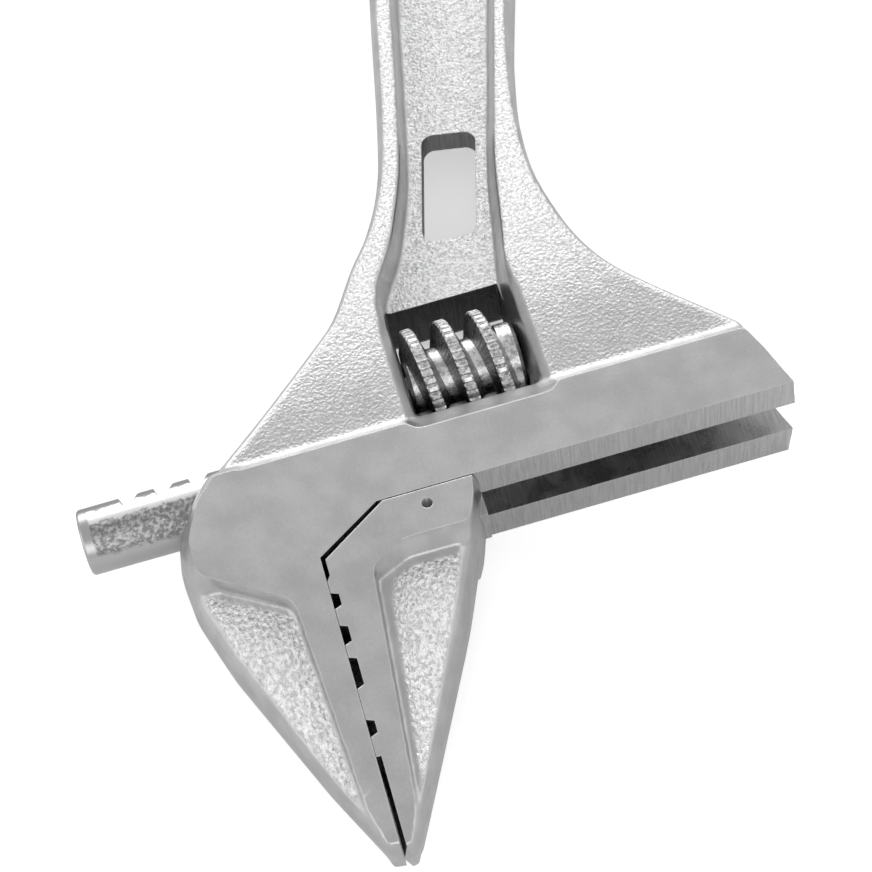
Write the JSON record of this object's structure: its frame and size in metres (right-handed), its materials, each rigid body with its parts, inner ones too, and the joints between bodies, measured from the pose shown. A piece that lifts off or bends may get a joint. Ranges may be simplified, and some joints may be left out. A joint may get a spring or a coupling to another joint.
{
  "type": "adjustable wrench",
  "caption": "Light wide-opening adjustable wrench with slim tapered jaws, a sliding lower jaw on a round rack rod, a knurled worm in a window and an I-section handle with a hanging hole.",
  "frame": {"origin": "on the flat back face of the head, in line with the fixed jaw's gripping face and with the underside the movable jaw slides along", "axes": "+X is the way the movable jaw opens, +Y runs from the jaws towards the handle, +Z is out of the front face; the wrench lies on its back at Z = 0"},
  "size_m": [0.072, 0.1543, 0.012],
  "materials": {
    "forged_body": "satin",
    "forged_jaw": "satin",
    "worm_steel": "satin",
    "pin_steel": "satin",
    "spring_steel": "satin"
  },
  "bodies": {
    "frame": {"body": "forged_body", "worm_pin": "pin_steel", "worm_spring": "spring_steel"},
    "jaw": {"movable_jaw": "forged_jaw"},
    "adjuster": {"worm": "worm_steel"}
  },
  "joints": [
    {"name": "jaw_slide", "type": "slide", "parent": "frame", "child": "jaw", "axis": [1, 0, 0], "range_m": [0, 0.028]},
    {"name": "worm_spin", "type": "hinge", "parent": "frame", "child": "adjuster", "pos_m": [0.017, 0.01377, 0.006], "axis": [1, 0, 0], "range_deg": [-3152, 0]}
  ],
  "couplings": [
    {"joint": "worm_spin", "follows": "jaw_slide", "rad_per_m": -1963.5}
  ]
}
